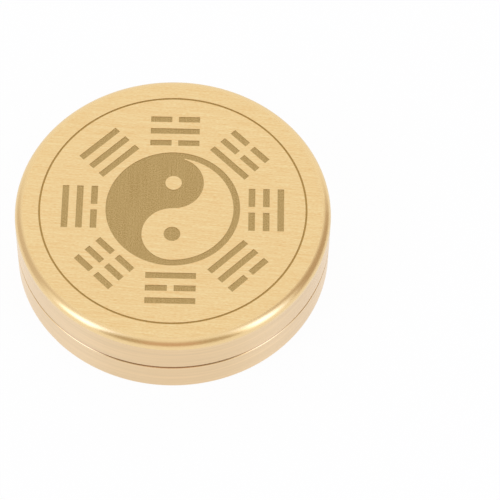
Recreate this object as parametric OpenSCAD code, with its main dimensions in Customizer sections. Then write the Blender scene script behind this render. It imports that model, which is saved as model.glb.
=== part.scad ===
// Pocket feng shui compass: a turned brass case with a glazed dial and a floating needle,
// under a thick brass lid that swings out sideways about an upright pin in the rim.
// Millimetres, +Z up, origin at the centre of the base. The lid is closed at rest.

/* [Shell] */
// Outer diameter of case and lid
body_d = 60; // [56:0.5:70]
// Height of the lid
lid_h = 8.15; // [7.6:0.05:12]
// Thickness of the lid's top plate
lid_top_t = 2.2; // [1.8:0.1:2.4]
// Width of the lid's wall
lid_wall = 4.4; // [4:0.1:5]
// Radius of the polished rounding on the lid's top edge
lid_round = 1.5; // [0.5:0.1:2]
// Radius of the fillet between the lid's wall and top plate
hollow_round = 0.6; // [0.3:0.1:1]
// Radius of the rounding on the case's bottom edge
base_round = 0.85; // [0.3:0.05:1.2]
// Chamfer on the case's upper outer edge, seen as the bright seam line
seam_chamfer = 0.2; // [0.1:0.05:0.5]
// Chamfer at the mouth of the lid's hollow
mouth_break = 0.3; // [0.1:0.05:0.5]
// Small chamfer that takes the sharpness off the other turned edges
edge_break = 0.15; // [0.05:0.05:0.2]
// Width of the case's matte land between bezel and outer wall
land_w = 4; // [3.8:0.1:5]
// Gap between the closed lid and the case's land
lid_gap = 0.25; // [0.05:0.05:0.3]

/* [Stack above the floor] */
// Thickness of the case floor
floor_t = 1.2; // [1.1:0.1:3]
// Thickness of the dial plate
dial_t = 0.5; // [0.3:0.1:1]
// Air space from the dial's face to the ledge under the glass
chamber_h = 4.3; // [4:0.1:6]
// Thickness of the ring under the glass
gasket_t = 0.2; // [0.1:0.05:0.4]
// Thickness of the glass
glass_t = 0.6; // [0.5:0.1:1.5]
// Chamfer round the edges of the glass
glass_break = 0.1; // [0.05:0.05:0.2]
// Thickness of the bezel's lip over the glass
lip_t = 0.4; // [0.35:0.05:1]

/* [Bezel and bore] */
// Width of the bezel from its outer wall to its inner edge
bezel_w = 2.6; // [2:0.1:3]
// Thickness of the bezel's wall beside the glass
bezel_wall = 1.05; // [0.8:0.05:1.3]
// Width of the ledge that carries gasket and glass
ledge_w = 1.9; // [1.7:0.1:2.4]
// Width of the flat outer band on the bezel
bezel_band = 1.05; // [0.6:0.05:1.2]
// Width of the fine groove between the band and the slope
bezel_groove_w = 0.24; // [0.1:0.02:0.3]
// Depth of that groove
bezel_groove_d = 0.18; // [0.06:0.02:0.2]
// Drop of the bezel's polished slope from band to inner edge
bezel_drop = 0.28; // [0.1:0.02:0.3]
// Height of the two fine ridges on the slope
bezel_ridge = 0.06; // [0.02:0.01:0.08]

/* [Lid engraving] */
// Depth of all engraving
engrave_d = 0.08; // [0.04:0.02:0.3]
// Distance of the engraved ring line from the outer wall
ring_inset = 4.68; // [3:0.1:5]
// Width of the ring line
ring_line = 0.36; // [0.15:0.01:0.5]
// Outer radius of the filled taiji
taiji_r = 12.75; // [10:0.25:13]
// Width of the filled taiji's outline
taiji_rim = 1.24; // [0.8:0.02:2]
// Angle from the top at which the taiji's light tail ends, in degrees
taiji_tip = 10; // [4:1:20]
// Radius of the taiji's two dots
dot_r = 1.57; // [1:0.01:2]
// Length of a trigram bar
bar_l = 9.45; // [8:0.25:10]
// Thickness of a trigram bar
bar_t = 1.24; // [1:0.02:1.6]
// Gap in the middle of a broken bar
bar_gap = 1.28; // [0.8:0.1:2]
// Spacing of the three bars of a trigram
bar_pitch = 2.74; // [2.4:0.02:2.8]
// Radius of the middle bar of each trigram
bar_mid_r = 17.7; // [17:0.1:18.5]

/* [Base engraving] */
// Outer radius of the outlined taiji on the underside
base_taiji_r = 14.6; // [10:0.25:17]
// Width of the outlined taiji's lines
base_line = 1.08; // [0.6:0.1:1.5]
// Radius of the outlined taiji's dots
base_dot_r = 2.28; // [1:0.1:2.5]

/* [Dial] */
// Thickness of the printed layers
ink_t = 0.04; // [0.02:0.01:0.1]
// Width of a printed line
line_w = 0.14; // [0.1:0.02:0.3]
// Radius of the printed taiji
print_taiji_r = 5.65; // [4:0.1:6]
// Radius of the printed taiji's dots
print_dot_r = 0.6; // [0.4:0.1:0.9]
// Width of the ring of trigrams round it
trigram_ring_w = 2.8; // [2.5:0.1:3]
// Width of the ring of palace cells
palace_ring_w = 3.85; // [3:0.1:4.1]
// Width of the ring of 24 mountain cells
mountain_ring_w = 3.6; // [3:0.1:3.9]
// Width of the ring of 24 star cells
star_ring_w = 3.9; // [3:0.1:4.1]
// Length of a printed trigram bar
dial_bar_l = 4.2; // [3:0.1:4.4]
// Thickness of a printed trigram bar
dial_bar_t = 0.2; // [0.1:0.01:0.25]
// Gap in the middle of a broken printed bar
dial_bar_gap = 0.45; // [0.3:0.05:0.8]
// Spacing of the bars of a printed trigram
dial_bar_pitch = 0.62; // [0.4:0.02:0.7]
// Blank margin between the degree scale and the dial's edge
scale_margin = 0.3; // [0.1:0.1:0.6]
// Length of the long strokes of the degree scale
tick_l = 1.3; // [0.6:0.1:1.6]
// Radius of the dot on every tenth degree
scale_dot_r = 0.2; // [0.1:0.05:0.3]
// Turn of the dial's north from +X towards +Y, in degrees
north_az = 20.5; // [0:0.5:90]

/* [Needle] */
// Reach of the needle to its arrow tip
needle_reach = 16.4; // [12:0.1:18]
// Width of the needle's wire
wire_w = 0.36; // [0.2:0.02:0.6]
// Thickness of the needle
blade_t = 0.2; // [0.15:0.05:0.3]
// Width of the arrowhead
arrow_w = 1.7; // [1:0.1:2.4]
// Length of the arrowhead
arrow_l = 1.9; // [1.2:0.1:3]
// Radius of the needle's eye round the hub
eye_r = 1.45; // [1.3:0.05:1.6]
// Height of the needle's collar above the dial
needle_clear = 1.2; // [1.1:0.1:1.3]
// Thickness of the clamping collar
collar_t = 0.4; // [0.3:0.05:0.6]
// Radius of the clamping collar
collar_r = 1.3; // [1.15:0.05:1.5]
// Radius of the hub's spigot through needle and collar
spigot_r = 0.9; // [0.8:0.05:1]
// Radius of the hub's lower step
hub_r = 1.75; // [1.6:0.05:2.5]
// Radius of the hub's upper step
hub_top_r = 1.35; // [1:0.05:1.5]
// Height of the hub's lower step
hub_step_h = 1.25; // [1.1:0.05:1.4]
// Chamfer on the hub's top edge
hub_top_break = 0.18; // [0.05:0.01:0.3]
// Chamfer on the hub's step
hub_step_break = 0.12; // [0.05:0.01:0.2]
// Play between the hub's top and the glass
hub_play = 0.35; // [0.3:0.05:0.6]

/* [Pivot] */
// Radius of the pivot pin
pivot_r = 0.3; // [0.2:0.05:0.4]
// Length of the pivot pin's pointed end
cone_l = 0.9; // [0.6:0.1:1.2]
// Radius of the jewel cup
jewel_r = 0.55; // [0.5:0.05:0.6]
// Height of the jewel cup
jewel_h = 0.6; // [0.5:0.05:0.8]
// Radius of the jewel's pocket at its mouth
pocket_r = 0.4; // [0.3:0.05:0.45]
// Depth of the jewel's pocket
pocket_h = 0.4; // [0.3:0.05:0.45]
// Radius of the post that holds the pivot pin
post_r = 0.8; // [0.7:0.05:1]
// Depth of the post's foot in the case floor
post_sink = 0.7; // [0.5:0.1:0.8]
// Radius of the post's flange on the dial
post_flange_r = 1.5; // [1.2:0.1:2]
// Thickness of the post's flange
post_flange_t = 0.35; // [0.2:0.05:0.5]
// Space between the top of the post and the needle's collar
post_clear = 0.3; // [0.2:0.05:0.4]

/* [Hinge] */
// Direction of the hinge pin from the centre, in degrees from +X
hinge_az = 45; // [0:1:90]
// Radius of the hinge pin
pin_r = 1.2; // [1:0.05:1.3]
// Height of the pin's foot above the base
pin_foot_z = 1.9; // [1.5:0.1:2.5]
// Spare depth of the pin's holes beyond its ends
pin_hole_spare = 0.2; // [0.1:0.05:0.3]
// Length of the pin inside the lid
pin_up = 4.9; // [4.5:0.1:5.2]
// Radius of the boss round the pin in the lid's hollow
boss_r = 3.4; // [3:0.1:4]
// Radius of the thrust washer
washer_r = 1.6; // [1.5:0.05:1.65]
// Thickness of the thrust washer
washer_t = 0.4; // [0.3:0.05:0.6]
// Depth of the groove in the pin
groove_d = 0.35; // [0.2:0.05:0.4]
// Height of the groove in the pin
groove_h = 0.9; // [0.7:0.05:1]
// Radius of the set screw
screw_r = 0.8; // [0.6:0.05:1]
// Height of the set screw above the lid's lower face
screw_z = 3; // [2.5:0.1:3.4]
// Width of the set screw's slot
slot_w = 0.3; // [0.2:0.05:0.4]
// Depth of the set screw's slot
slot_d = 0.4; // [0.2:0.05:0.5]

/* [Clearances] */
// Radial clearance of a loose seat, such as the dial in its bore
seat_gap = 0.1; // [0.05:0.05:0.2]
// Radial clearance of pressed and glued pieces
press_gap = 0.01; // [0.005:0.005:0.02]
// Radial running clearance of pin and lid
run_gap = 0.04; // [0.02:0.01:0.1]
// Axial play of washer, groove and pivot
play = 0.03; // [0.01:0.01:0.05]

/* [Hidden] */
$fn = 96;
eps = 0.01;

// case and bore
body_r = body_d / 2;
seat_r = body_r - land_w;
bore_r = seat_r - ledge_w;
face_z = floor_t + dial_t;
ledge_z = face_z + chamber_h;
glass_z = ledge_z + gasket_t;
lip_z = glass_z + glass_t;
case_h = lip_z + lip_t;
dial_r = bore_r - seat_gap;

// bezel and glass
bezel_r = seat_r - press_gap;
bezel_in_r = bezel_r - bezel_w;
bezel_wall_r = bezel_r - bezel_wall;
glass_r = bezel_wall_r - seat_gap;

// lid
lid_z = case_h + lid_gap;
lid_bore_r = body_r - lid_wall;
lid_hollow_h = lid_h - lid_top_t;

// dial rings
trigram_ring_r = print_taiji_r + trigram_ring_w;
palace_ring_r = trigram_ring_r + palace_ring_w;
mountain_ring_r = palace_ring_r + mountain_ring_w;
star_ring_r = mountain_ring_r + star_ring_w;
scale_r = dial_r - scale_margin;

// needle and pivot
collar_z = face_z + needle_clear;
blade_z = collar_z + collar_t;
hub_z = blade_z + blade_t;
step_z = hub_z + hub_step_h;
hub_top_z = glass_z - hub_play;
jewel_z = step_z - jewel_h;
pivot_tip_z = jewel_z + pocket_h - play;
post_foot_z = floor_t - post_sink;
post_top_z = collar_z - post_clear;

// hinge
hinge_rho = body_r - land_w / 2;
pin_top_z = lid_z + pin_up;
washer_z = lid_z - play - washer_t;
groove_r = pin_r - groove_d;
groove_z = lid_z + screw_z - groove_h / 2;
dog_r = groove_h / 2 - 2 * play;
dog_tip = groove_r + 2 * play;
screw_nose = pin_r + run_gap + play;
screw_tail = boss_r - 2 * play;

// trigrams from the top clockwise, each from the inner bar to the outer; 1 is a whole bar
lid_trigrams = [[0, 1, 0], [1, 0, 0], [0, 0, 1], [1, 1, 0], [1, 0, 1], [0, 0, 0], [0, 1, 1], [1, 1, 1]];
// the dial's trigrams clockwise from north, in the early-heaven order
dial_trigrams = [[0, 0, 0], [1, 0, 0], [1, 0, 1], [1, 1, 0], [1, 1, 1], [0, 1, 1], [0, 1, 0], [0, 0, 1]];
// mountain cells printed red, counted clockwise from north
red_cells = [0, 1, 4, 5, 7, 8, 12, 15, 16, 20, 21, 23];
// angles in degrees: the palace cells over half a turn, where they begin, and the 24 cells
palace_steps = [24, 25, 36, 26, 33, 28, 8];
palace_start = 66.5;
cell_step = 15;
trigram_step = 45;

// an upright stack is placed on the hinge's axis
module at_hinge() {
    rotate([0, 0, hinge_az]) translate([hinge_rho, 0, 0]) children();
}

// a profile in the radius-height plane turned into a solid of revolution
module turned() {
    rotate_extrude($fn = 180) children();
}

// half profile of a disc whose upper edge is rounded
module round_disc2d(r, h, edge) {
    square([r - edge, h]);
    square([r, h - edge]);
    translate([r - edge, h - edge]) circle(r = edge);
}

// what a chamfer takes off a corner at (x, z); turned by 0 the solid lies at +X +Z of it
module chamfer2d(x, z, c, turn) {
    translate([x, z]) rotate(turn) polygon([[c + eps, -eps], [-eps, -eps], [-eps, c + eps]]);
}

module ring2d(r_out, r_in) {
    difference() {
        circle(r = r_out);
        circle(r = r_in);
    }
}

module ring_line2d(r, w) {
    ring2d(r + w / 2, r - w / 2);
}

// a bar across the radius, whole or with its middle left out
module bar2d(l, t, gap, whole) {
    difference() {
        square([l, t], center = true);
        if (!whole) square([gap, 2 * t], center = true);
    }
}

// three bars centred at radius r on +Y, the first nearest the centre
module trigram2d(bars, r, l, t, gap, pitch) {
    for (i = [0:2])
        translate([0, r + (i - 1) * pitch]) bar2d(l, t, gap, bars[i] == 1);
}

// the filled taiji: dark head at the top, dark body on the left, and a light tail with a blunt tip
module taiji2d(r, rim, dot) {
    inner = r - rim;
    difference() {
        union() {
            ring2d(r, inner - eps);
            difference() {
                circle(r = inner);
                translate([0, -r]) square([2 * r, 2 * r]);
            }
            translate([0, inner / 2]) circle(r = inner / 2);
            intersection() {
                circle(r = inner);
                polygon([[0, 0], [0, 2 * inner], [2 * inner * tan(taiji_tip), 2 * inner]]);
            }
        }
        translate([0, -inner / 2]) circle(r = inner / 2);
        translate([0, inner / 2]) circle(r = dot);
    }
    translate([0, -inner / 2]) circle(r = dot);
}

// the outlined taiji: an outer ring, the S line of two half rings, and two dots
module taiji_outline2d(r, w, dot) {
    lobe = (r - w / 2) / 2;
    ring2d(r, r - w);
    for (s = [1, -1])
        translate([0, s * lobe]) {
            intersection() {
                ring_line2d(lobe, w);
                translate([s > 0 ? 0 : -r, -r]) square([r, 2 * r]);
            }
            circle(r = dot);
        }
}

// straight lines from r_in to r_out, one every step degrees clockwise from start
module spokes2d(count, step, r_in, r_out, start) {
    for (i = [0:count - 1])
        rotate(start - i * step) translate([r_in, -line_w / 2]) square([r_out - r_in, line_w]);
}

// the cup: floor, thick wall, ledge for the glass, pin hole and the engraved underside
module case_body() {
    color([0.80, 0.66, 0.42]) difference() {
        turned() difference() {
            translate([0, case_h]) mirror([0, 1]) round_disc2d(body_r, case_h, base_round);
            translate([0, floor_t]) square([bore_r, case_h]);
            translate([0, ledge_z]) square([seat_r, case_h]);
            chamfer2d(body_r, case_h, seam_chamfer, 180);
            chamfer2d(seat_r, case_h, edge_break, -90);
        }
        translate([0, 0, post_foot_z]) cylinder(r = post_r + press_gap, h = post_sink + eps);
        at_hinge() {
            translate([0, 0, pin_foot_z - pin_hole_spare]) cylinder(r = pin_r + press_gap, h = case_h);
            translate([0, 0, washer_z]) cylinder(r = washer_r + seat_gap / 2, h = washer_t + eps);
        }
        mirror([1, 0, 0]) translate([0, 0, -eps]) linear_extrude(engrave_d + eps) {
            taiji_outline2d(base_taiji_r, base_line, base_dot_r);
            ring_line2d(body_r - ring_inset, ring_line);
        }
    }
}

module dial_plate() {
    color([0.93, 0.92, 0.94]) translate([0, 0, floor_t]) difference() {
        cylinder(r = dial_r, h = dial_t);
        translate([0, 0, -eps]) cylinder(r = post_r + seat_gap, h = dial_t + 2 * eps);
    }
}

// where palace cell i begins, in degrees after the first
function palace_az(i) = i == 0 ? 0 : palace_az(i - 1) + palace_steps[(i - 1) % len(palace_steps)];

// strokes and dots of the degree scale: a short stroke between every two long ones
module degree_scale2d() {
    for (i = [0:71]) {
        stroke = i % 2 == 0 ? tick_l : tick_l / 2;
        rotate(north_az - i * 5) {
            translate([scale_r - stroke, -line_w / 4]) square([stroke, line_w / 2]);
            if (i % 2 == 0) translate([scale_r - tick_l, 0]) circle(r = scale_dot_r, $fn = 24);
        }
    }
}

// all dark printing, left bare under the post's flange
module dial_print() {
    color([0.35, 0.35, 0.38]) translate([0, 0, face_z]) linear_extrude(ink_t) difference() {
        union() {
            rotate(north_az - 90) taiji2d(print_taiji_r, 3 * line_w, print_dot_r);
            for (r = [trigram_ring_r, palace_ring_r, mountain_ring_r, star_ring_r]) ring_line2d(r, line_w);
            spokes2d(8, trigram_step, print_taiji_r - line_w, trigram_ring_r, north_az + trigram_step / 2);
            spokes2d(24, cell_step, palace_ring_r, star_ring_r, north_az + cell_step / 2);
            for (i = [0:2 * len(palace_steps) - 1])
                spokes2d(1, 0, trigram_ring_r, palace_ring_r, north_az + palace_start + palace_az(i));
            for (i = [0:7])
                rotate(north_az - 90 - i * trigram_step)
                    trigram2d(dial_trigrams[i], print_taiji_r + trigram_ring_w / 2,
                        dial_bar_l, dial_bar_t, dial_bar_gap, dial_bar_pitch);
            degree_scale2d();
        }
        circle(r = post_flange_r + seat_gap);
    }
}

// red fields inside their cells, clear of the printed lines
module dial_red_cells() {
    r_in = palace_ring_r + line_w / 2 + ink_t;
    r_out = mountain_ring_r - line_w / 2 - ink_t;
    half = cell_step / 2 - asin((line_w / 2 + ink_t) / r_in);
    color([0.85, 0.36, 0.38]) translate([0, 0, face_z]) linear_extrude(ink_t)
        for (c = red_cells)
            rotate(north_az - c * cell_step) intersection() {
                ring2d(r_out, r_in);
                polygon([[0, 0], [2 * r_out * cos(half), -2 * r_out * sin(half)],
                    [2 * r_out * cos(half), 2 * r_out * sin(half)]]);
            }
}

module pivot_post() {
    color([0.78, 0.62, 0.34]) difference() {
        union() {
            translate([0, 0, post_foot_z]) cylinder(r = post_r, h = post_top_z - post_foot_z);
            translate([0, 0, face_z]) cylinder(r = post_flange_r, h = post_flange_t);
        }
        translate([0, 0, floor_t]) cylinder(r = pivot_r + press_gap, h = case_h);
    }
}

module pivot_pin() {
    color([0.62, 0.63, 0.66]) turned() polygon([[0, floor_t], [pivot_r, floor_t],
        [pivot_r, pivot_tip_z - cone_l], [0, pivot_tip_z]]);
}

module glass_gasket() {
    color([0.15, 0.15, 0.16]) translate([0, 0, ledge_z]) difference() {
        cylinder(r = glass_r, h = gasket_t);
        translate([0, 0, -eps]) cylinder(r = bore_r + seat_gap, h = gasket_t + 2 * eps);
    }
}

module glass() {
    color([0.85, 0.92, 0.95, 0.35]) turned() difference() {
        translate([0, glass_z]) square([glass_r, glass_t]);
        chamfer2d(glass_r, glass_z, glass_break, 90);
        chamfer2d(glass_r, lip_z, glass_break, 180);
    }
}

// an L section: a wall round the glass and a lip over it, with two fine ridges on the polished slope
module bezel() {
    slope_r = bezel_r - bezel_band - bezel_groove_w;
    slope_w = slope_r - bezel_in_r;
    color([0.90, 0.72, 0.38]) turned() polygon(concat(
        [[bezel_r, ledge_z], [bezel_r, case_h - edge_break], [bezel_r - edge_break, case_h],
         [bezel_r - bezel_band, case_h], [slope_r + bezel_groove_w / 2, case_h - bezel_groove_d],
         [slope_r, case_h]],
        [for (i = [1:2]) each [
            [slope_r - slope_w * i / 3, case_h - bezel_drop * i / 3 - bezel_ridge],
            [slope_r - slope_w * i / 3 - bezel_ridge, case_h - bezel_drop * i / 3]]],
        [[bezel_in_r, case_h - bezel_drop], [bezel_in_r, lip_z],
         [bezel_wall_r, lip_z], [bezel_wall_r, ledge_z]]));
}

// pressed into the case, with a groove near its upper end for the set screw
module hinge_pin() {
    color([0.78, 0.62, 0.34]) at_hinge() turned() difference() {
        translate([0, pin_foot_z]) square([pin_r, pin_top_z - pin_foot_z]);
        translate([groove_r, groove_z]) square([pin_r, groove_h]);
        chamfer2d(pin_r, pin_foot_z, edge_break, 90);
        chamfer2d(pin_r, pin_top_z, edge_break, 180);
    }
}

module hinge_washer() {
    color([0.72, 0.60, 0.40]) at_hinge() translate([0, 0, washer_z]) difference() {
        cylinder(r = washer_r, h = washer_t);
        translate([0, 0, -eps]) cylinder(r = pin_r + run_gap, h = washer_t + 2 * eps);
    }
}

// one flat piece: wire, arrowhead and the eye that sits on the hub's spigot
module needle_blade() {
    base = needle_reach - arrow_l;
    notch = base + arrow_l / 4;
    color([0.25, 0.26, 0.28]) translate([0, 0, blade_z]) linear_extrude(blade_t) difference() {
        union() {
            circle(r = eye_r);
            translate([-wire_w / 2, -needle_reach]) square([wire_w, needle_reach + notch + wire_w]);
            polygon([[0, needle_reach], [-arrow_w / 2, base], [0, notch], [arrow_w / 2, base]]);
        }
        circle(r = spigot_r + press_gap);
    }
}

module needle_collar() {
    color([0.78, 0.62, 0.34]) translate([0, 0, collar_z]) difference() {
        cylinder(r = collar_r, h = collar_t);
        translate([0, 0, -eps]) cylinder(r = spigot_r + press_gap, h = collar_t + 2 * eps);
    }
}

// two steps and a spigot, bored from below for the jewel cup
module needle_hub() {
    color([0.86, 0.70, 0.42]) turned() difference() {
        union() {
            translate([0, collar_z]) square([spigot_r, step_z - collar_z]);
            translate([0, hub_z]) square([hub_r, hub_step_h]);
            translate([0, hub_z]) square([hub_top_r, hub_top_z - hub_z]);
        }
        translate([0, collar_z - eps]) square([jewel_r + press_gap, step_z - collar_z + eps]);
        chamfer2d(hub_r, step_z, hub_step_break, 180);
        chamfer2d(hub_top_r, hub_top_z, hub_top_break, 180);
    }
}

module jewel_cup() {
    color([0.70, 0.20, 0.30]) turned() polygon([[pocket_r, jewel_z], [jewel_r, jewel_z], [jewel_r, step_z],
        [0, step_z], [0, jewel_z + pocket_h]]);
}

// the cap: thick wall, rounded top edge, boss for the pin, set screw hole and the engraved face
module lid() {
    color([0.84, 0.70, 0.45]) translate([0, 0, lid_z]) difference() {
        union() {
            turned() difference() {
                round_disc2d(body_r, lid_h, lid_round);
                translate([0, -eps]) round_disc2d(lid_bore_r, lid_hollow_h + eps, hollow_round);
                chamfer2d(body_r, 0, edge_break, 90);
                chamfer2d(lid_bore_r, 0, mouth_break, 0);
            }
            intersection() {
                at_hinge() translate([0, 0, mouth_break])
                    cylinder(r = boss_r, h = lid_hollow_h - mouth_break + eps);
                cylinder(r = lid_bore_r + mouth_break, h = lid_h);
            }
        }
        at_hinge() {
            translate([0, 0, -eps]) cylinder(r = pin_r + run_gap, h = pin_up + pin_hole_spare + eps);
            translate([-boss_r - eps, 0, screw_z]) rotate([0, 90, 0])
                cylinder(r = screw_r + press_gap, h = boss_r + eps);
        }
        translate([0, 0, lid_h - engrave_d]) linear_extrude(engrave_d + eps) {
            taiji2d(taiji_r, taiji_rim, dot_r);
            ring_line2d(body_r - ring_inset, ring_line);
            for (i = [0:7])
                rotate(-trigram_step * i)
                    trigram2d(lid_trigrams[i], bar_mid_r, bar_l, bar_t, bar_gap, bar_pitch);
        }
    }
}

// a slotted screw whose dog runs in the pin's groove and keeps the lid on
module hinge_screw() {
    color([0.45, 0.46, 0.48]) at_hinge() translate([0, 0, lid_z + screw_z]) rotate([0, -90, 0])
        difference() {
            union() {
                translate([0, 0, dog_tip]) cylinder(r = dog_r, h = screw_nose - dog_tip + eps);
                translate([0, 0, screw_nose]) cylinder(r = screw_r, h = screw_tail - screw_nose);
            }
            translate([-screw_r - eps, -slot_w / 2, screw_tail - slot_d])
                cube([2 * screw_r + 2 * eps, slot_w, slot_d + eps]);
        }
}

case_body();
dial_plate();
dial_print();
dial_red_cells();
pivot_post();
pivot_pin();
glass_gasket();
glass();
bezel();
hinge_pin();
hinge_washer();
needle_blade();
needle_collar();
needle_hub();
jewel_cup();
lid();
hinge_screw();
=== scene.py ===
import math

import bmesh
import bpy
from mathutils import Matrix, Vector


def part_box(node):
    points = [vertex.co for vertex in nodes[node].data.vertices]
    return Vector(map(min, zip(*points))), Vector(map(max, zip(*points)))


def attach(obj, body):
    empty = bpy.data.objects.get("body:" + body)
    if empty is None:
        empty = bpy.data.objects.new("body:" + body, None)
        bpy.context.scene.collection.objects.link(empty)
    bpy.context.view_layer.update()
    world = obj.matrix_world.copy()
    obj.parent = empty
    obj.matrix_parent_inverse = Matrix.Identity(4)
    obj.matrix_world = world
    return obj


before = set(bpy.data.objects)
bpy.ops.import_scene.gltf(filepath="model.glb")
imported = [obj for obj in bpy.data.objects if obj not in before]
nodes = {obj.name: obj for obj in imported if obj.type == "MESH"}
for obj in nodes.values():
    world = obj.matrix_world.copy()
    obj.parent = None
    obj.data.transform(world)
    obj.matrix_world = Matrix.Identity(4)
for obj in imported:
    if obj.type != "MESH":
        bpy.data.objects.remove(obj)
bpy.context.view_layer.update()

mm = 0.001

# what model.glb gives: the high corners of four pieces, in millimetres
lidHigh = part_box("lid")[1] / mm
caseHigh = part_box("case_body")[1] / mm
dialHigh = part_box("dial_plate")[1] / mm
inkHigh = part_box("dial_print")[1] / mm
bodyRadius = lidHigh.x


class Wire:
    # a socket that takes part in sums like a number
    def __init__(self, finish, socket):
        self.finish = finish
        self.socket = socket

    def maths(self, operation, *values):
        return self.finish.add("ShaderNodeMath", {"operation": operation}, dict(enumerate(values)))

    def __add__(self, other):
        return self.maths("ADD", self, other)

    def __sub__(self, other):
        return self.maths("SUBTRACT", self, other)

    def __rsub__(self, other):
        return self.maths("SUBTRACT", other, self)

    def __mul__(self, other):
        return self.maths("MULTIPLY", self, other)

    def __gt__(self, other):
        return self.maths("GREATER_THAN", self, other)

    def __lt__(self, other):
        return self.maths("LESS_THAN", self, other)

    def largerOf(self, other):
        return self.maths("MAXIMUM", self, other)

    __radd__ = __add__
    __rmul__ = __mul__


class Finish:
    # a node tree for a material or the world, built from short calls
    def __init__(self, owner):
        owner.use_nodes = True
        self.owner = owner
        self.tree = owner.node_tree
        self.tree.nodes.clear()

    def add(self, kind, settings=None, values=None, output=0):
        node = self.tree.nodes.new(kind)
        for key, value in (settings or {}).items():
            setattr(node, key, value)
        for key, value in (values or {}).items():
            if isinstance(value, Wire):
                self.tree.links.new(value.socket, node.inputs[key])
            else:
                node.inputs[key].default_value = value
        return Wire(self, node.outputs[output]) if node.outputs else node

    def degrees(self, operation, *values):
        # an inverse trigonometric function, in degrees
        radians = self.add("ShaderNodeMath", {"operation": operation}, dict(enumerate(values)))
        return radians * (180 / math.pi)

    def place(self):
        # object coordinates in millimetres: they stay with the piece when its body moves
        objectSpace = self.add("ShaderNodeTexCoord", output="Object")
        return self.add("ShaderNodeVectorMath", {"operation": "SCALE"}, {0: objectSpace, "Scale": 1 / mm})

    def split(self, vector):
        node = self.add("ShaderNodeSeparateXYZ", values={0: vector}).socket.node
        return [Wire(self, node.outputs[axis]) for axis in range(3)]

    def join(self, x, y, z):
        return self.add("ShaderNodeCombineXYZ", values={0: x, 1: y, 2: z})

    def span(self, x, y):
        # distance from the needle's axis
        flat = self.join(x, y, 0.0)
        return self.add("ShaderNodeVectorMath", {"operation": "LENGTH"}, {0: flat}, output="Value")

    def ease(self, value, low, high):
        # 0 below low, 1 above high, smooth between; low may be the larger one
        return self.add("ShaderNodeMapRange", {"interpolation_type": "SMOOTHSTEP"},
                        {"Value": value, "From Min": low, "From Max": high})

    def between(self, value, edges):
        # 1 between the two inner edges, 0 outside the two outer ones
        start, full, fading, end = edges
        return self.ease(value, start, full) * self.ease(value, end, fading)

    def noise(self, vector, scale=1.0, detail=2.0, roughness=0.5):
        return self.add("ShaderNodeTexNoise", {"noise_dimensions": "3D"},
                        {"Vector": vector, "Scale": scale, "Detail": detail, "Roughness": roughness})

    def blend(self, factor, first, second):
        # colours: first where factor is 0
        return self.add("ShaderNodeMix", {"data_type": "RGBA"}, {0: factor, 6: first, 7: second}, output=2)

    def shade(self, colour, factor):
        # a colour made lighter or darker by a number
        colour = colour if isinstance(colour, Wire) else colour[:3]
        return self.add("ShaderNodeVectorMath", {"operation": "SCALE"}, {0: colour, "Scale": factor})

    def bump(self, height, distance, strength=0.5):
        return self.add("ShaderNodeBump",
                        values={"Height": height, "Distance": distance * mm, "Strength": strength})

    def surface(self, **sockets):
        # base_color sets the socket Base Color, and so on
        values = {key.replace("_", " ").title(): value for key, value in sockets.items()}
        return self.add("ShaderNodeBsdfPrincipled", values=values)

    def mixed(self, factor, first, second):
        # shaders: first where factor is 0
        return self.add("ShaderNodeMixShader", values={0: factor, 1: first, 2: second})

    def finished(self, shader):
        self.add("ShaderNodeOutputMaterial", values={"Surface": shader})
        return self.owner


def newFinish(name):
    return Finish(bpy.data.materials.new(name))


def dress(name, material):
    piece = nodes[name]
    for place in piece.material_slots:
        place.material = material


# camera

cameraSettings = {
    "azimuth": 2.0,  # degrees, so that the engraving stands a little clockwise in view
    "elevation": 57.05,
    "distance": 526.5,
    "roll": -0.53,
    "lens": 200.2,
    "shiftX": 0.1544,
    "shiftY": -0.0836,
    "clip": (10, 20000),  # nearest and furthest distance in view
}


def makeCamera(s):
    azimuth, elevation = math.radians(s["azimuth"]), math.radians(s["elevation"])
    back = Vector((math.sin(azimuth) * math.cos(elevation), -math.cos(azimuth) * math.cos(elevation),
                   math.sin(elevation)))
    target = Vector((0, 0, lidHigh.z * mm))
    camera = bpy.data.objects.new("camera", bpy.data.cameras.new("camera"))
    bpy.context.scene.collection.objects.link(camera)
    camera.location = target + back * s["distance"] * mm
    aim = (-back).to_track_quat("-Z", "Y").to_matrix().to_4x4()
    camera.rotation_euler = (aim @ Matrix.Rotation(math.radians(s["roll"]), 4, "Z")).to_euler()
    camera.data.lens = s["lens"]
    camera.data.shift_x, camera.data.shift_y = s["shiftX"], s["shiftY"]
    camera.data.clip_start, camera.data.clip_end = (distance * mm for distance in s["clip"])
    bpy.context.scene.camera = camera


makeCamera(cameraSettings)
print("camera placed")


# streaks: each layer has its strength, its cycles per mm along three directions, its detail and its
# roughness. Where only two directions are used, the third number just shifts the layer.

streakSettings = {
    "brushTilt": 5.0,  # degrees by which the brush lines fall to the right
    "brushed": (  # along the strokes, across them
        (0.35, (0.05, 1.1, 0.0), 3.0, 0.6),
        (0.8, (0.22, 4.5, 5.0), 3.0, 0.6),
        (0.8, (1.5, 7.0, 9.0), 2.0, 0.5),
    ),
    "turned": (  # x, y, over the rings
        (0.5, (0.03, 0.03, 1.3), 3.0, 0.6),
        (0.7, (0.04, 0.04, 3.5), 3.0, 0.65),
    ),
    "hatched": (  # x, y
        (0.28, (5.0, 0.08, 3.0), 2.0, 0.5),
        (1.1, (5.5, 4.5, 8.0), 2.0, 0.5),
    ),
    "drawn": (  # x, y, z
        (1.0, (14.0, 1.2, 14.0), 3.0, 0.6),
    ),
    "grooveTurn": 0.25,  # lays the stretched gloss across the lathe's rings
}


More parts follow.
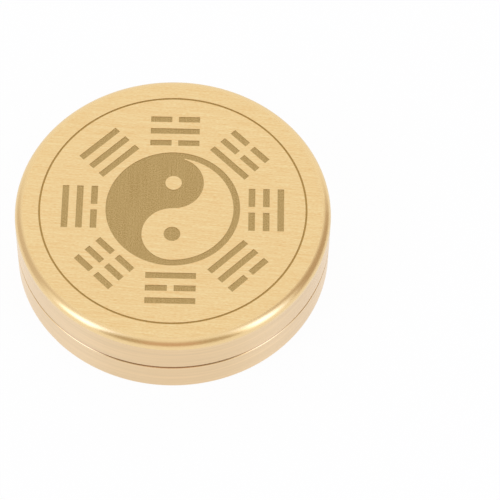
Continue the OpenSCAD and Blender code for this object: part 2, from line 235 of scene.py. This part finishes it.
def streaks(f, directions, layers):
    # stretched noise, about 0 on average
    total = -sum(layer[0] for layer in layers) / 2
    for strength, cycles, detail, roughness in layers:
        vector = f.join(*(direction * cycle for direction, cycle in zip(directions, cycles)))
        total = total + f.noise(vector, detail=detail, roughness=roughness) * strength
    return total


def brushedStreaks(f, x, y):
    # long fine strokes across a flat face
    tilt = math.radians(streakSettings["brushTilt"])
    along = x * math.cos(tilt) - y * math.sin(tilt)
    across = x * math.sin(tilt) + y * math.cos(tilt)
    return streaks(f, (along, across, 1), streakSettings["brushed"])


def turnedStreaks(f, x, y, across):
    # rings left by the lathe: across is the coordinate that runs over them
    return streaks(f, (x, y, across), streakSettings["turned"])


def hatchStreaks(f, x, y):
    # the marks of the engraving beam, straight up and down the face
    return streaks(f, (x, y, 1), streakSettings["hatched"])


# brass

brassSettings = {
    "faceDark": (0.78, 0.45, 0.16, 1),  # the two ends of the streaks' tone
    "faceLight": (1.0, 0.85, 0.485, 1),
    "faceRoughness": 0.33,
    "faceUnevenness": 0.12,  # how far the strokes change the roughness
    "faceBump": 0.010,
    "etchDark": (0.27, 0.14, 0.01, 1),
    "etchLight": (0.84, 0.64, 0.31, 1),
    "etchRoughness": 0.55,
    "etchStart": 0.03,  # what lies deeper in the face is engraved
    "engraving": 0.08,  # depth
    "engravedRadius": 26.5,  # nothing is engraved outside it
    "ringRadius": 24.5,  # the engraved ring lies outside it
    # the engraved ring's colour: its own browner etch tone, darkened as painted shade of its deeper cut
    "ringToneAndShade": (0.51, 0.325, 0.105, 1),
    "edgeColour": (0.88, 0.64, 0.315, 1),  # polished edges
    "edgeRoughness": 0.24,
    "edgeSmoothing": 0.8,  # share of the lathe's rings that polishing takes away
    "wallColour": (0.85, 0.62, 0.35, 1),
    "wallRoughness": 0.32,
    "wallAnisotropy": 0.9,
    "wallStreaks": 0.45,
    "wallUnevenness": 0.1,
    "wallBump": 0.008,
    "lacquer": 0.6,
    "lacquerRoughness": 0.3,
    "seamShadeColour": (0.30, 0.15, 0.08, 1),  # the case's top edge chamfer, darkened as painted shade of the closed joint's gap
    "seamShadeShare": 0.85,
    "seamShadeFades": ((0.05, 0.13), (0.4, 0.25)),  # in from the wall, where the painted shade is none and full, at its outer and inner side
    "lidRounding": 1.5,
    "polishFade": (0.6, 0.15),  # past the rounding's end: its polish is gone, and still full
    "chamferBelow": 0.5,  # the chamfers at the joint lie more than this below the rounding
    "chamferReach": 0.21,  # how far they come in from the wall, and down from the case's top
    "faceSlack": 0.02,  # room for rounding errors, on the face and at the wall
    "wallSlack": 0.01,
}


def engravedBrass(name, faceZ, outward, s):
    # a turned piece with one brushed, engraved flat face at faceZ, which looks up (1) or down (-1)
    f = newFinish(name)
    x, y, z = f.split(f.place())
    radius = f.span(x, y)
    depth = (faceZ - z) * outward  # how far below the engraved face
    flatRadius = bodyRadius - s["lidRounding"]
    onFace = (depth < s["engraving"] + s["faceSlack"]) * (radius < flatRadius + s["faceSlack"])
    etched = (depth > s["etchStart"]) * onFace * (radius < s["engravedRadius"])
    polished = (depth > s["lidRounding"] + s["chamferBelow"]) * (radius > bodyRadius - s["chamferReach"])
    polished = polished * (radius < bodyRadius - s["wallSlack"])
    if outward > 0:  # the lid's rounding is polished a little past its end
        gone, full = (s["lidRounding"] + past for past in s["polishFade"])
        polished = polished.largerOf(f.ease(depth, gone, full) * (1 - onFace))

    strokes = brushedStreaks(f, x, y)
    hatch = hatchStreaks(f, x, y)
    face = f.blend(strokes + 0.5, s["faceDark"], s["faceLight"])
    etch = f.blend(hatch + 0.5, s["etchDark"], s["etchLight"])
    # the engraved ring gets a darker colour: partly its own etch tone, partly painted shade of the deeper
    # cut
    etch = f.blend(radius > s["ringRadius"], etch, f.shade(s["ringToneAndShade"], 1 + hatch))
    faceRoughness = s["faceRoughness"] + strokes * s["faceUnevenness"]
    flat = f.surface(
        base_color=f.blend(etched, face, etch),
        metallic=1.0,
        roughness=faceRoughness + etched * (s["etchRoughness"] - s["faceRoughness"]),
        normal=f.bump(strokes * (1 - etched) + hatch * etched, s["faceBump"]))

    rings = turnedStreaks(f, x, y, z + radius)
    wall = f.blend(polished, s["wallColour"], s["edgeColour"])
    wall = f.shade(wall, 1 + rings * s["wallStreaks"] * (1 - polished))
    # painted shade: the case's top edge chamfer is darkened where the closed lid's gap would shade it
    seamShade = (depth > caseHigh.z - s["chamferReach"]) * (depth < caseHigh.z + s["wallSlack"])
    for none, full in s["seamShadeFades"]:
        seamShade = seamShade * f.ease(radius, bodyRadius - none, bodyRadius - full)
    wallRoughness = s["wallRoughness"] + rings * s["wallUnevenness"]
    turned = f.surface(
        base_color=f.blend(seamShade * s["seamShadeShare"], wall, s["seamShadeColour"]),
        metallic=1.0,
        roughness=wallRoughness + polished * (s["edgeRoughness"] - s["wallRoughness"]),
        anisotropic=s["wallAnisotropy"],
        anisotropic_rotation=streakSettings["grooveTurn"],
        coat_weight=s["lacquer"],
        coat_roughness=s["lacquerRoughness"],
        normal=f.bump(rings * (1 - polished * s["edgeSmoothing"]), s["wallBump"]))
    return f.finished(f.mixed(onFace, turned, flat))


dress("lid", engravedBrass("lid brass", lidHigh.z, 1, brassSettings))
dress("case_body", engravedBrass("case brass", 0.0, -1, brassSettings))


polishedSettings = {
    "bezel brass": {"colour": (0.92, 0.66, 0.28, 1), "roughness": 0.17, "bump": 0.006},
    "fitting brass": {"colour": (0.90, 0.68, 0.36, 1), "roughness": 0.24, "bump": 0.004},
    "fittings": ("pivot_post", "hinge_pin", "hinge_washer", "needle_collar", "needle_hub"),
    "anisotropy": 0.5,
    "ringCloseness": 2.0,  # the rings lie this many times closer than on the walls
    "ringShade": 0.10,
    "unevenness": 0.08,
}


def polishedBrass(name, s):
    f = newFinish(name)
    x, y, z = f.split(f.place())
    rings = turnedStreaks(f, x, y, (z + f.span(x, y)) * s["ringCloseness"])
    return f.finished(f.surface(
        base_color=f.shade(s[name]["colour"], 1 + rings * s["ringShade"]),
        metallic=1.0,
        roughness=s[name]["roughness"] + rings * s["unevenness"],
        anisotropic=s["anisotropy"],
        anisotropic_rotation=streakSettings["grooveTurn"],
        normal=f.bump(rings, s[name]["bump"])))


dress("bezel", polishedBrass("bezel brass", polishedSettings))
fittingBrass = polishedBrass("fitting brass", polishedSettings)
for fitting in polishedSettings["fittings"]:
    dress(fitting, fittingBrass)
print("brass finished")


# steel, rubber, jewel

steelSettings = {
    "needle steel": {"colour": (0.13, 0.135, 0.15, 1), "roughness": 0.32},
    "screw steel": {"colour": (0.56, 0.57, 0.60, 1), "roughness": 0.25},
    "grainShade": 0.5,
    "unevenness": 0.15,
    "bump": 0.003,
    "bumpStrength": 0.4,
}

rubberSettings = {
    "colour": (0.03, 0.03, 0.032),
    "grainScale": 6.0,
    "grainShade": 0.8,
    "roughness": 0.75,
    "unevenness": 0.2,
    "bump": 0.01,
    "bumpStrength": 0.4,
}

jewelSettings = {
    "colour": (0.55, 0.04, 0.10),
    "cloudScale": 3.0,
    "cloudShade": 0.5,
    "roughness": 0.08,
    "coat": 0.6,
}


def brushedSteel(name, s):
    f = newFinish(name)
    grain = streaks(f, f.split(f.place()), streakSettings["drawn"])
    return f.finished(f.surface(
        base_color=f.shade(s[name]["colour"], 1 + grain * s["grainShade"]),
        metallic=1.0,
        roughness=s[name]["roughness"] + grain * s["unevenness"],
        normal=f.bump(grain, s["bump"], s["bumpStrength"])))


def mouldedRubber(s):
    f = newFinish("gasket rubber")
    grain = f.noise(f.place(), scale=s["grainScale"], detail=3.0) - 0.5
    return f.finished(f.surface(
        base_color=f.shade(s["colour"], 1 + grain * s["grainShade"]),
        roughness=s["roughness"] + grain * s["unevenness"],
        normal=f.bump(grain, s["bump"], s["bumpStrength"])))


def rubyJewel(s):
    f = newFinish("ruby jewel")
    cloud = f.noise(f.place(), scale=s["cloudScale"]) - 0.5
    return f.finished(f.surface(
        base_color=f.shade(s["colour"], 1 + cloud * s["cloudShade"]),
        roughness=s["roughness"],
        coat_weight=s["coat"]))


screwSteel = brushedSteel("screw steel", steelSettings)
dress("needle_blade", brushedSteel("needle steel", steelSettings))
dress("pivot_pin", screwSteel)
dress("hinge_screw", screwSteel)
dress("glass_gasket", mouldedRubber(rubberSettings))
dress("jewel_cup", rubyJewel(jewelSettings))
print("steel, rubber and jewel finished")


# dial

dialSettings = {
    "dial ground": {"colour": (0.90, 0.885, 0.95, 1), "unevenness": 0.05, "roughness": 0.5},
    "dark ink": {"colour": (0.16, 0.17, 0.20, 1), "unevenness": 0.25, "roughness": 0.45},
    "red ink": {"colour": (0.88, 0.25, 0.28, 1), "unevenness": 0.15, "roughness": 0.45},
    "white ink": {"colour": (0.86, 0.84, 0.86, 1), "unevenness": 0.05, "roughness": 0.45},
    "cloudScale": 0.6,
    "grainScale": 14.0,
    "grainRoughness": 0.15,
    "bump": 0.004,
}


def printed(name, s):
    # flat printing ink, a little uneven in tone and in thickness
    f = newFinish(name)
    place = f.place()
    cloud = f.noise(place, scale=s["cloudScale"], detail=3.0, roughness=0.6) - 0.5
    grain = f.noise(place, scale=s["grainScale"]) - 0.5
    unevenness = s[name]["unevenness"]
    return f.finished(f.surface(
        base_color=f.shade(s[name]["colour"], 1 + cloud * unevenness + grain * unevenness),
        roughness=s[name]["roughness"] + grain * s["grainRoughness"],
        normal=f.bump(grain, s["bump"])))


darkInk = printed("dark ink", dialSettings)
whiteInk = printed("white ink", dialSettings)
dress("dial_plate", printed("dial ground", dialSettings))
dress("dial_print", darkInk)
dress("dial_red_cells", printed("red ink", dialSettings))


numberSettings = {
    "northAzimuth": 20.5,  # degrees from +X
    "thickness": 0.03,
    "faceSize": 1.38,  # size of the face, over the height of its figures
    "curveSteps": 4,
    "weld": 0.0005,  # points nearer than this are joined
    "palace": (10.35, 1.7),  # each ring: its radius and the height of its figures
    "mountain": (14.1, 1.9),
    "star": (17.85, 1.55),
    "scale": (20.95, 0.85),
    "scaleStep": 10,  # degrees
    "cellStep": 15,
    "redCells": (0, 1, 4, 5, 7, 8, 12, 15, 16, 20, 21, 23),
    "palaceCells": (24, 25, 36, 26, 33, 28, 8),  # widths in degrees over half a turn
    "palaceStart": 66.5,
}


def glyphMesh(text, height, s):
    # one number of the built-in face as a thin solid, centred on the origin, in millimetres
    curve = bpy.data.curves.new("glyph", "FONT")
    curve.body = text
    curve.align_x, curve.align_y = "CENTER", "CENTER"
    curve.size = height * s["faceSize"]
    curve.extrude = s["thickness"] / 2
    curve.resolution_u = s["curveSteps"]
    holder = bpy.data.objects.new("glyph", curve)
    bpy.context.scene.collection.objects.link(holder)
    bpy.context.view_layer.update()
    mesh = bpy.data.meshes.new_from_object(holder.evaluated_get(bpy.context.evaluated_depsgraph_get()))
    bpy.data.objects.remove(holder)
    bpy.data.curves.remove(curve)
    return mesh


def numberRing(name, labels, ring, lowZ, material, s):
    # labels are (text, degrees clockwise from north); their tops point to the centre
    radius, height = ring
    joined = bmesh.new()
    for text, bearing in labels:
        azimuth = math.radians(s["northAzimuth"] - bearing)
        mesh = glyphMesh(text, height, s)
        mesh.transform(Matrix.Rotation(azimuth + math.pi / 2, 4, "Z"))
        mesh.transform(Matrix.Translation((radius * math.cos(azimuth), radius * math.sin(azimuth),
                                           lowZ + s["thickness"] / 2)))
        joined.from_mesh(mesh)
        bpy.data.meshes.remove(mesh)
    bmesh.ops.remove_doubles(joined, verts=joined.verts, dist=s["weld"])
    result = bpy.data.meshes.new(name)
    joined.to_mesh(result)
    joined.free()
    result.transform(Matrix.Scale(mm, 4))
    result.materials.append(material)
    piece = bpy.data.objects.new(name, result)
    bpy.context.scene.collection.objects.link(piece)
    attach(piece, "case")


def palaceLabels(s):
    # numbers in the middle of the palace cells; the narrow cells stay bare
    labels, start = [], -s["palaceStart"]
    for width in s["palaceCells"] * 2:
        if width > s["cellStep"]:
            labels.append((str(len(labels) + 1), start - width / 2))
        start -= width
    return labels


def makeNumbers(s):
    ground, ink = dialHigh.z, inkHigh.z
    cells = range(360 // s["cellStep"])
    red = [(str(cell + 1), cell * s["cellStep"]) for cell in cells if cell in s["redCells"]]
    plain = [(str(cell + 1), cell * s["cellStep"]) for cell in cells if cell not in s["redCells"]]
    stars = [(str(bearing), bearing) for bearing in range(0, 360, s["cellStep"])]
    degrees = [(str(bearing), bearing) for bearing in range(0, 360, s["scaleStep"])]
    numberRing("mountain_numbers_red_cells", red, s["mountain"], ink, whiteInk, s)
    numberRing("mountain_numbers", plain, s["mountain"], ground, darkInk, s)
    numberRing("star_numbers", stars, s["star"], ground, darkInk, s)
    numberRing("degree_numbers", degrees, s["scale"], ground, darkInk, s)
    numberRing("palace_numbers", palaceLabels(s), s["palace"], ground, darkInk, s)


makeNumbers(numberSettings)
print("dial printed and numbered")


# glass: a clear plate that mirrors more at a flat angle, with a faint haze of wiping marks

glassSettings = {
    "tint": (0.985, 0.99, 0.985, 1),
    "mirrored": 0.06,  # share that it mirrors when seen from straight above
    "fresnelPower": 5,
    "roughness": 0.03,
    "smearScale": 0.12,
    "smearRoughness": 0.04,
    "smearShare": 0.1,
}


def coverGlass(s):
    f = newFinish("cover glass")
    smear = f.noise(f.place(), scale=s["smearScale"], detail=4.0, roughness=0.6) - 0.5
    mirror = f.surface(base_color=(1, 1, 1, 1), metallic=1.0,
                       roughness=s["roughness"] + smear * s["smearRoughness"])
    clear = f.add("ShaderNodeBsdfTransparent", values={"Color": s["tint"]})
    facing = f.add("ShaderNodeLayerWeight", values={"Blend": 0.5}, output="Facing")
    # the same from both sides of the plate
    fresnel = facing.maths("POWER", facing, s["fresnelPower"]) * (1 - s["mirrored"]) + s["mirrored"]
    return f.finished(f.mixed(fresnel * (1 + smear * s["smearShare"]), clear, mirror))


dress("glass", coverGlass(glassSettings))
print("glass finished")


# studio: directions are degrees round from the front, positive to the right, and distances are metres

studioSettings = {
    "white": (1, 1, 1, 1),
    "floorSize": 6.0,
    "floorColour": (0.97, 0.97, 0.97, 1),
    "floorWhite": 0.95,  # share of the floor that shows as plain white, to the camera and in the metal
    # soft areas of the world: the four directions between which each comes and goes, and the two
    # heights between which it goes. An area's lean is how far it moves to the left for each degree up.
    "front": {"colour": (0.64, 0.47, 0.38, 1), "round": (-42, -32, 31, 43), "up": (78, 38)},
    "frontSpread": (0.85, 0.0037),  # it is wider near the horizon
    "beside": {"colour": (0.52, 0.44, 0.33, 1), "round": (11, 24)},  # the front's own two sides
    "left": {"colour": (0.71, 0.65, 0.61, 1), "round": (-140, -110, -84, -68), "up": (80, 60), "lean": 0.3},
    "right": {"colour": (0.54, 0.44, 0.36, 1), "round": (62, 80, 112, 136), "up": (84, 68), "lean": -0.4},
    "glowColour": (1.7, 2.0, 3.0, 1),  # the hazy light round the two boxes
    "leftGlow": (-75, -60, -51, -38),
    "rightGlow": (40, 51, 58, 76),
    "rightGlowLean": -0.12,
    "glowUp": ((80, 50), (-20, 40)),  # it goes towards the top and comes in from below the horizon
    "boxes": (
        {"name": "left box", "round": -57, "up": 26, "wide": 22, "high": 40, "radiance": 0.4},
        {"name": "right box", "round": 52, "up": 26, "wide": 20, "high": 40, "radiance": 0.4},
    ),
    "boxDistance": 1.3,
}


def makeFloor(s):
    half = s["floorSize"] / 2
    sheet = bmesh.new()
    corners = [sheet.verts.new((x * half, y * half, 0)) for x, y in ((-1, -1), (1, -1), (1, 1), (-1, 1))]
    sheet.faces.new(corners)
    mesh = bpy.data.meshes.new("floor")
    sheet.to_mesh(mesh)
    sheet.free()
    floor = bpy.data.objects.new("floor", mesh)
    bpy.context.scene.collection.objects.link(floor)
    f = newFinish("white floor")
    paths = f.add("ShaderNodeLightPath").socket.node
    seen = Wire(f, paths.outputs["Is Camera Ray"])
    for name in ("Is Glossy Ray", "Is Transmission Ray"):
        seen = seen.largerOf(Wire(f, paths.outputs[name]))
    paper = f.add("ShaderNodeBsdfDiffuse", values={"Color": s["floorColour"]})
    white = f.add("ShaderNodeEmission", values={"Color": s["white"], "Strength": 1.0})
    mesh.materials.append(f.finished(f.mixed(seen * s["floorWhite"], paper, white)))


def makeWorld(s):
    world = bpy.data.worlds.new("studio")
    bpy.context.scene.world = world
    f = Finish(world)
    x, y, z = f.split(f.add("ShaderNodeTexCoord", output="Generated"))
    turn = f.degrees("ARCTAN2", x, 0 - y)
    up = f.degrees("ARCSINE", z)
    narrow, widening = s["frontSpread"]
    front = f.between(turn * (narrow + up * widening), s["front"]["round"]) * f.ease(up, *s["front"]["up"])
    beside = f.ease(turn.maths("ABSOLUTE", turn), *s["beside"]["round"])
    colour = f.blend(front, s["white"], f.blend(beside, s["front"]["colour"], s["beside"]["colour"]))
    for side in (s["left"], s["right"]):
        area = f.between(turn + up * side["lean"], side["round"]) * f.ease(up, *side["up"])
        colour = f.blend(area, colour, side["colour"])
    glow = f.between(turn, s["leftGlow"]) + f.between(turn + up * s["rightGlowLean"], s["rightGlow"])
    for heights in s["glowUp"]:
        glow = glow * f.ease(up, *heights)
    colour = f.blend(glow, colour, s["glowColour"])
    background = f.add("ShaderNodeBackground", values={"Color": colour, "Strength": 1.0})
    f.add("ShaderNodeOutputWorld", values={"Surface": background})


def makeBoxes(s):
    for box in s["boxes"]:
        turn, up = math.radians(box["round"]), math.radians(box["up"])
        towards = Vector((math.sin(turn) * math.cos(up), -math.cos(turn) * math.cos(up), math.sin(up)))
        lamp = bpy.data.lights.new(box["name"], "AREA")
        lamp.shape = "RECTANGLE"
        lamp.size, lamp.size_y = (2 * s["boxDistance"] * math.tan(math.radians(box[side] / 2))
                                  for side in ("wide", "high"))
        lamp.energy = box["radiance"] * math.pi * lamp.size * lamp.size_y
        holder = bpy.data.objects.new(box["name"], lamp)
        holder.location = towards * s["boxDistance"]
        holder.rotation_euler = (-towards).to_track_quat("-Z", "Y").to_euler()
        holder.visible_camera = False
        bpy.context.scene.collection.objects.link(holder)


makeFloor(studioSettings)
makeWorld(studioSettings)
makeBoxes(studioSettings)
scene = bpy.context.scene
scene.view_settings.view_transform = "Standard"
print("studio lit")
